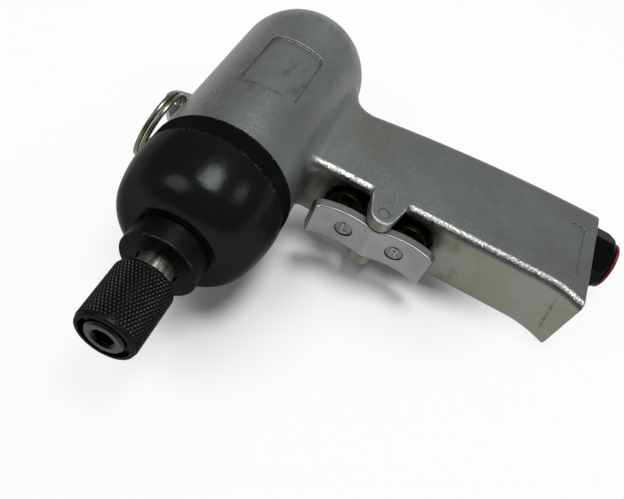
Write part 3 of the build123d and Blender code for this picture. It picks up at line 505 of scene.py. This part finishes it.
def brassFinish():
    f = Finish("oilyShadedBrass")
    oil = f.noise(2.2, 4.0, 0.6)
    marks = f.noise(0.4, 2.0, 0.5, (4.0, 0.3, 0.3))
    edge, rounded = f.edges(0.35)
    shade = f.mix(oil.rise(0.3, 0.7), [c * 2.5 for c in brass["oily"]], brass["oily"])
    # painted glints on the rims
    shade = f.mix(edge * oil.rise(0.6, 0.45) * 0.6, shade, brass["paintedBrassGlint"])
    turned = f.bump(marks, 0.008, rounded)
    return f.done(Base_Color=shade, Roughness=0.3 + 0.2 * oil, Metallic=0.8, Normal=turned)


def dullFinish(name, shade, rough, grain, relief, metal=0.0):
    # rubber, fibre, laminate and the like
    f = Finish(name)
    cloud = f.noise(grain * 8, 3.0, 0.6)
    fine = f.noise(grain, 3.0, 0.6)
    tone = f.mix(cloud, [c * 0.75 for c in shade], [c * 1.25 for c in shade])
    grained = f.bump(fine, relief)
    return f.done(Base_Color=tone, Roughness=rough + 0.1 * (fine - 0.5), Metallic=metal, Normal=grained)


# Black plating of the inlet hexagon, chipped at a few spots
inletCoat = dict(shade=(0.0075, 0.0077, 0.0075), chip=(0.35, 0.36, 0.35))


def inletFinish():
    f = Finish("inletBlack", Metallic=0.8, Specular_IOR_Level=0.1, Specular_Tint=(0.3, 0.3, 0.3, 1.0))
    cloud = f.noise(4.0, 3.0, 0.6)
    fine = f.noise(0.4, 3.0, 0.6)
    edge, rounded = f.edges(0.3)
    shade = f.mix(cloud, inletCoat["shade"], [c * 2 for c in inletCoat["shade"]])
    chips = f.flakes(0.8)[1].rise(0.99, 0.998).most(edge * fine.rise(0.5, 0.7) * 0.3)
    shade = f.mix(chips * 0.35, shade, inletCoat["chip"])
    return f.done(Base_Color=shade, Roughness=0.3 + 0.1 * (fine - 0.5), Normal=f.bump(fine, 0.01, rounded))


# Moulded red cap over the inlet's mouth
redCap = dict(shade=(0.13, 0.007, 0.01), pale=(0.2, 0.013, 0.017))


def redCapFinish():
    f = Finish("redMoulding", Specular_IOR_Level=0.25)
    cloud = f.noise(5.0, 3.0, 0.6)
    fine = f.noise(0.5, 2.0, 0.5)
    shade = f.mix(cloud, redCap["shade"], redCap["pale"])
    return f.done(Base_Color=shade, Roughness=0.34 + 0.1 * (fine - 0.5), Normal=f.bump(fine, 0.01))


blastedAlloy = alloyFinish()
blackCoating = blackCoatFinish()
blackOxide = oxideFinish()
anvilSteel = anvilFinish()
satinPlating = platingFinish()
pinSteel = groundSteel("pinSteel", (0.28, 0.29, 0.28), 0.36)
valveSteel = groundSteel("valveSteel", (0.12, 0.12, 0.1), 0.34, (4.0, 0.3, 0.3))
springWire = groundSteel("springWire", (0.26, 0.26, 0.25), 0.36)
ringWire = groundSteel("ringWire", (0.18, 0.18, 0.125), 0.28)
motorIron = groundSteel("motorIron", (0.2, 0.2, 0.2), 0.5, (5.0, 0.3, 0.3), 0.8, 0.02)
rotorSteel = groundSteel("rotorSteel", (0.3, 0.3, 0.3), 0.4, (5.0, 0.3, 0.3))
bearingSteel = groundSteel("bearingSteel", (0.6, 0.6, 0.6), 0.16)
oilyShadedBrass = brassFinish()
sealRubber = dullFinish("sealRubber", (0.02, 0.02, 0.02), 0.6, 0.3, 0.01)
gasketFibre = dullFinish("gasketFibre", (0.22, 0.19, 0.14), 0.8, 0.4, 0.03)
vaneLaminate = dullFinish("vaneLaminate", (0.3, 0.17, 0.08), 0.6, 0.5, 0.02)
inletBlack = inletFinish()
sinteredGrey = dullFinish("sinteredGrey", (0.09, 0.09, 0.085), 0.7, 0.5, 0.08, 0.5)
redMoulding = redCapFinish()

ends = ("front", "rear")
sides = ("upper", "lower")
races = ("outer_ring", "inner_ring", "balls", "cage")
paint(["motor_housing"], blastedAlloy)
paint(["hammer_case"], blackCoating)
paint(["nose_collar", "chuck_sleeve", "sleeve_washer", "sleeve_snap_ring"], blackOxide)
paint(["anvil"], anvilSteel)
paint(["trigger"], satinPlating)
paint(["trigger_pin", "liner_dowel", "hammer_pins"], pinSteel)
paint([f"{side}_valve_bush" for side in sides] + ["anvil_bush", "inlet_screen"], oilyShadedBrass)
paint([f"{side}_valve_stem" for side in sides], valveSteel)
paint([f"{side}_valve_seal" for side in sides], sealRubber)
paint([f"{side}_valve_spring" for side in sides] + ["sleeve_spring"], springWire)
paint(["motor_gasket"], gasketFibre)
paint(["front_end_plate", "rear_end_plate", "cylinder_liner"], motorIron)
paint(["rotor", "hammer_cage", "rear_hammer_dog", "front_hammer_dog"], rotorSteel)
paint(["rotor_vanes"], vaneLaminate)
paint([f"{end}_bearing_{race}" for end in ends for race in races] + ["bit_ball"], bearingSteel)
paint(["inlet_bushing"], inletBlack)
paint(["inlet_cap"], redMoulding)
paint(["exhaust_screen"], sinteredGrey)
paint(["split_ring"], ringWire)
print("finishes on", len(nodes), "nodes")


# Pieces grown by geometry nodes, in millimetres about their own z axis
class Growth(Web):
    def __init__(self, name, sizes):
        self.group = bpy.data.node_groups.new(name, "GeometryNodeTree")
        super().__init__(self.group)
        face = self.group.interface
        self.sizes = sizes
        self.ids = {}
        for label, value in sizes.items():
            kind = "NodeSocketInt" if isinstance(value, int) else "NodeSocketFloat"
            self.ids[label] = face.new_socket(label, in_out="INPUT", socket_type=kind).identifier
        face.new_socket("Geometry", in_out="OUTPUT", socket_type="NodeSocketGeometry")
        entry = self.tree.nodes.new("NodeGroupInput")
        self.size = {label: Wire(self, entry.outputs[label]) for label in sizes}

    def grown(self, geometry, material, place, smooth=False):
        # realized, shaded, set in its finish, and turned into a plain mesh in the tool's frame
        if not smooth:
            geometry = self.add("GeometryNodeRealizeInstances", None, {0: geometry})
        geometry = self.add("GeometryNodeSetShadeSmooth", None, {0: geometry, "Shade Smooth": smooth})
        geometry = self.add("GeometryNodeRealizeInstances", None, {0: geometry})
        geometry = self.add("GeometryNodeSetMaterial", None, {0: geometry, "Material": material})
        leave = self.tree.nodes.new("NodeGroupOutput")
        self.tree.links.new(geometry.socket, leave.inputs[0])
        seed = added(self.group.name, bpy.data.meshes.new(self.group.name + "Seed"))
        modifier = seed.modifiers.new("growth", "NODES")
        modifier.node_group = self.group
        for label, value in self.sizes.items():
            modifier[self.ids[label]] = value
        shown = seed.evaluated_get(bpy.context.evaluated_depsgraph_get())
        mesh = bpy.data.meshes.new_from_object(shown)
        seed.modifiers.remove(modifier)
        mesh.transform(place)
        seed.data = mesh
        return seed


# Straight ribs round the rear of the hammer case
caseRibs = {"Ribs": 150, "Radius": 26.8, "Length": 7.6, "Height": 0.4}
caseRibsMiddle = 4.3


def growCaseRibs():
    g = Growth("caseRibs", caseRibs)
    pitch = g.size["Radius"] * 2 * math.pi / g.size["Ribs"]
    ring = g.add("GeometryNodeMeshCircle", None, {"Vertices": g.size["Ribs"], "Radius": g.size["Radius"]})
    inputs = {"Vertices": 3, "Radius": pitch / math.sqrt(3), "Depth": g.size["Length"]}
    rib = g.add("GeometryNodeMeshCylinder", None, inputs)
    angle = g.add("GeometryNodeInputIndex") * 2 * math.pi / g.size["Ribs"]
    turn = g.add("FunctionNodeEulerToRotation", None, {0: g.add("ShaderNodeCombineXYZ", None, {"Z": angle})})
    flat = g.size["Height"] / (pitch * math.sqrt(3) / 2)
    scale = g.add("ShaderNodeCombineXYZ", None, {"X": flat, "Y": 1.0, "Z": 1.0})
    inputs = {"Points": ring, "Instance": rib, "Rotation": turn, "Scale": scale}
    ribs = g.add("GeometryNodeInstanceOnPoints", None, inputs)
    return g.grown(ribs, blackCoating, placed((caseRibsMiddle, 0, 0), (0, 1, 0), (0, 0, 1)))


# Diamond knurl on the chuck sleeve
sleeveKnurl = {"Around": 50, "Rows": 18, "Radius": 10.02, "Pitch": 1.14, "Height": 0.42, "Tip": 0.12}
sleeveKnurlStart = 51.6


def growSleeveKnurl():
    g = Growth("sleeveKnurl", sleeveKnurl)
    count = g.size["Around"] * g.size["Rows"]
    index = g.add("GeometryNodeInputIndex")
    row = g.add("ShaderNodeMath", {"operation": "FLOOR"}, {0: index / g.size["Around"]})
    odd = g.add("ShaderNodeMath", {"operation": "MODULO"}, {0: row, 1: 2.0})
    angle = (index - row * g.size["Around"] + odd * 0.5) * 2 * math.pi / g.size["Around"]
    cosine = g.add("ShaderNodeMath", {"operation": "COSINE"}, {0: angle})
    sine = g.add("ShaderNodeMath", {"operation": "SINE"}, {0: angle})
    along = row * g.size["Pitch"]
    radius = g.size["Radius"]
    spot = g.add("ShaderNodeCombineXYZ", None, {"X": cosine * radius, "Y": sine * radius, "Z": along})
    points = g.add("GeometryNodePoints", None, {"Count": count, "Position": spot})
    inputs = {"Vertices": 4, "Radius Top": g.size["Tip"], "Radius Bottom": 1.0, "Depth": 1.0}
    cone = g.add("GeometryNodeMeshCone", None, inputs)
    lean = g.add("ShaderNodeCombineXYZ", None, {"Y": math.pi / 2, "Z": angle})
    turn = g.add("FunctionNodeEulerToRotation", None, {0: lean})
    half = math.pi * radius / g.size["Around"]
    scale = g.add("ShaderNodeCombineXYZ", None, {"X": g.size["Pitch"], "Y": half, "Z": g.size["Height"]})
    inputs = {"Points": points, "Instance": cone, "Rotation": turn, "Scale": scale}
    diamonds = g.add("GeometryNodeInstanceOnPoints", None, inputs)
    return g.grown(diamonds, blackOxide, placed((sleeveKnurlStart, 0, 0), (0, 1, 0), (0, 0, 1)))


# Double-wound hanging ring in the lug's eye
hangingRing = {
    "Turns": 2.0, "Steps": 64, "Radius": 13.3, "Pitch": 1.9, "Width": 1.7, "Thickness": 1.5, "Rounding": 0.55,
}
ringEye = dict(at=(-23.5, -29.6, 0.0), reach=(0.996, -0.02, -0.086), face=(0, 1, -0.12), sag=0.5)


def growHangingRing():
    g = Growth("hangingRing", hangingRing)
    rise = g.size["Turns"] * g.size["Pitch"]
    inputs = {
        "Resolution": g.size["Steps"], "Rotations": g.size["Turns"], "Height": rise,
        "Start Radius": g.size["Radius"], "End Radius": g.size["Radius"],
    }
    path = g.add("GeometryNodeCurveSpiral", None, inputs)
    path = g.add("GeometryNodeSetCurveNormal", {"mode": "Z_UP"}, {0: path})
    inputs = {"Width": g.size["Thickness"], "Height": g.size["Width"]}
    section = g.add("GeometryNodeCurvePrimitiveQuadrilateral", None, inputs)
    inputs = {"Curve": section, "Count": 4, "Radius": g.size["Rounding"], "Limit Radius": True}
    section = g.add("GeometryNodeFilletCurve", {"mode": "POLY"}, inputs)
    inputs = {"Curve": path, "Profile Curve": section, "Fill Caps": True}
    wire = g.add("GeometryNodeCurveToMesh", None, inputs)
    reach = Vector(ringEye["reach"]).normalized()
    face = Vector(ringEye["face"])
    face = (face - reach * face.dot(reach)).normalized()
    centre = Vector(ringEye["at"]) + reach * (hangingRing["Radius"] - ringEye["sag"])
    centre = centre - face * hangingRing["Pitch"]
    side = face.cross(reach)
    return g.grown(wire, ringWire, placed(centre, side, reach.cross(face).cross(face)), smooth=True)


ribs = growCaseRibs()
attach(ribs, "housing")
knurl = growSleeveKnurl()
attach(knurl, "sleeve")
ring = growHangingRing()
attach(ring, "hanging_ring")
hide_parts("split_ring")
print("grown pieces", [len(piece.data.polygons) for piece in (ribs, knurl, ring)])


# The springs get meshes of their own
springs = dict(mergeGap=0.001, slot="spring_steel")


def springEnds(name):
    low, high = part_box(name)
    half = barrelWay * abs((high - low).dot(barrelWay)) / 2
    return (low + high) / 2 - half, (low + high) / 2 + half


def pressSleeveSpring():
    # the sleeve spring gets a copy of its mesh
    rear, front = springEnds("sleeve_spring")
    travel = joints["sleeve_pull"]["range_m"][1]
    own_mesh(nodes["sleeve_spring"], "sleeve_pull", barrelWay, front, 1 - travel / (front - rear).length)


def followValve(side):
    # a welded copy of its mesh stands in for the CAD node, which is hidden
    name = f"{side}_valve_spring"
    mesh = nodes[name].data.copy()
    joined = bmesh.new()
    joined.from_mesh(mesh)
    bmesh.ops.remove_doubles(joined, verts=joined.verts, dist=springs["mergeGap"] * mm)
    joined.to_mesh(mesh)
    joined.free()
    spring = added(side + "ValveSpring", mesh)
    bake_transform(spring)
    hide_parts(name)


pressSleeveSpring()
for side in sides:
    followValve(side)


# Turning marks in the trigger's two round seats
triggerMarks = dict(
    pin=(*plating["pin"], 0.0), tilt=plating["tilt"],
    floor=2.84, spread=10.0, height=6.2, raised=0.5, bevel=0.06, thicken=0.08,
)


def setMark(letter, side):
    m = triggerMarks
    words = bpy.data.curves.new("mark" + letter, "FONT")
    words.body = letter
    words.align_x, words.align_y = "CENTER", "CENTER"
    words.size, words.extrude = m["height"], m["raised"] / 2
    words.bevel_depth, words.bevel_resolution, words.offset = m["bevel"], 2, m["thicken"]
    draft = added("mark" + letter, words)
    mesh = bpy.data.meshes.new_from_object(draft.evaluated_get(bpy.context.evaluated_depsgraph_get()))
    bpy.data.objects.remove(draft)
    tilt = Matrix.Rotation(math.radians(m["tilt"]), 4, "Z")
    spot = Vector(m["pin"]) + tilt @ Vector((m["floor"], side * m["spread"], 0.0))
    mesh.transform(placed(spot, tilt @ Vector((0, 1, 0)), (0, 0, 1)))
    mesh.materials.append(satinPlating)
    piece = added("triggerMark" + letter, mesh)
    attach(piece, "rocker")


for letter, side in (("L", -1), ("R", 1)):
    setMark(letter, side)
print("trigger marks set")


# Floor, light and camera
stage = dict(
    size=6.0, floor=(0.97, 0.97, 0.965), lift=(0.02, 0.85), liftReach=(0.002, 0.044),
    dimLine=((-0.038, -0.04), (-0.022, 0.0), (0.022, 0.005)),
    world=(0.96, 0.98, 1.0), worldLevel=0.165, backGlow=0.55, backWay=(-0.99, 0.0, 0.12),
    backReach=(0.7, 1.0), horizon=(0.11, 0.08),
)


def seenRays(web):
    # 1 for what the camera sees, straight or in a gleam, and 0 for light that falls on the tool
    path = web.tree.nodes.new("ShaderNodeLightPath")
    seen = Wire(web, path.outputs["Is Camera Ray"]) + Wire(web, path.outputs["Is Glossy Ray"])
    return (seen + Wire(web, path.outputs["Is Transmission Ray"])).least(1.0)


def makeFloor():
    mesh = bpy.data.meshes.new("bench")
    h = stage["size"] / 2
    mesh.from_pydata([(-h, -h, 0), (h, -h, 0), (h, h, 0), (-h, h, 0)], [], [(0, 1, 2, 3)])
    bench = added("bench", mesh)
    material = bpy.data.materials.new("paleBench")
    material.use_nodes = True
    web = Web(material.node_tree)
    web.tree.nodes.clear()
    place = web.add("ShaderNodeTexCoord", out="Object")
    split = web.add("ShaderNodeSeparateXYZ", None, {0: place}).socket.node
    x, y = Wire(web, split.outputs["X"]), Wire(web, split.outputs["Y"])

    def fromLine(start, end):
        # distance on the floor from the straight line between two spots
        length = math.dist(start, end)
        wayX, wayY = (end[0] - start[0]) / length, (end[1] - start[1]) / length
        overX, overY = x - start[0], y - start[1]
        along = (overX * wayX + overY * wayY).most(0.0).least(length)
        return ((overX - along * wayX) ** 2.0 + (overY - along * wayY) ** 2.0) ** 0.5

    # the floor is lifted to white away from the tool's lower edge, and keeps its shadow there
    left, middle, right = stage["dimLine"]
    away = fromLine(left, middle).least(fromLine(middle, right)).rise(*stage["liftReach"])
    lift = stage["lift"][0] + away * (stage["lift"][1] - stage["lift"][0])
    matte = web.add("ShaderNodeBsdfDiffuse", None, {"Color": (*stage["floor"], 1.0)})
    glow = web.add("ShaderNodeEmission", None, {"Color": (1.0, 1.0, 1.0, 1.0), "Strength": 1.0})
    both = web.add("ShaderNodeMixShader", None, {0: seenRays(web) * lift, 1: matte, 2: glow})
    web.add("ShaderNodeOutputMaterial", None, {"Surface": both})
    mesh.materials.append(material)


def makeWorld():
    world = bpy.data.worlds.new("softRoom")
    bpy.context.scene.world = world
    world.use_nodes = True
    web = Web(world.node_tree)
    web.tree.nodes.clear()
    way = web.add("ShaderNodeTexCoord", out="Generated")
    towards = {0: way, 1: toolWay(*stage["backWay"])}
    back = web.add("ShaderNodeVectorMath", {"operation": "DOT_PRODUCT"}, towards, "Value")
    back = back.rise(*stage["backReach"])
    # a dim room with a glow behind the dome, and a white horizon that only the camera and gleams see
    room = stage["worldLevel"] + back * stage["backGlow"]
    split = web.add("ShaderNodeSeparateXYZ", None, {0: way}).socket.node
    horizon = Wire(web, split.outputs["Z"]).rise(*stage["horizon"]) * seenRays(web)
    level = room + (1 - room) * horizon
    sky = web.add("ShaderNodeBackground", None, {"Color": (*stage["world"], 1.0), "Strength": level})
    web.add("ShaderNodeOutputWorld", None, {"Surface": sky})


# Three soft ceiling lamps, each in the way that its gleam on the black case shows
lamps = [
    dict(name="ceilingMiddle", way=(-0.13, 0.02, 0.99), away=1000.0, size=415.0, level=13.6),
    dict(name="ceilingLeft", way=(0.38, -0.55, 0.74), away=1000.0, size=540.0, level=2.9),
    dict(name="ceilingRight", way=(-0.29, 0.64, 0.71), away=1000.0, size=205.0, level=5.2),
]
lampAim = (-20.0, 40.0, 0.0)


def makeLamps():
    aim = toolSpot(*lampAim)
    for row in lamps:
        light = bpy.data.lights.new(row["name"], "AREA")
        light.shape = "DISK"
        light.size = row["size"] * mm
        light.energy = row["level"] * (math.pi * light.size / 2) ** 2
        lamp = added(row["name"], light)
        lamp.location = aim + toolWay(*row["way"]) * row["away"] * mm
        lamp.rotation_mode = "QUATERNION"
        lamp.rotation_quaternion = (aim - lamp.location).to_track_quat("-Z", "Y")


# The lens gives 700 pixels for each unit of tangent on the 624 pixel wide picture
view = dict(
    at=(160.58, 42.42, 184.10), look=(-0.63853, -0.01124, -0.76951), down=(0.67427, 0.47383, -0.56643),
    focal=700.0, width=624.0, sensor=36.0, clip=(0.01, 20.0),
)


def makeCamera():
    lens = bpy.data.cameras.new("photoView")
    lens.sensor_width = view["sensor"]
    lens.lens = view["sensor"] * view["focal"] / view["width"]
    lens.clip_start, lens.clip_end = view["clip"]
    camera = added("photoView", lens)
    back, up = -toolWay(*view["look"]), -toolWay(*view["down"])
    turn = Matrix((up.cross(back), up, back)).transposed().to_4x4()
    turn.translation = toolSpot(*view["at"])
    camera.matrix_world = turn
    bpy.context.scene.camera = camera


makeFloor()
makeWorld()
makeLamps()
makeCamera()
bpy.context.scene.view_settings.view_transform = "Standard"
print("stage ready")
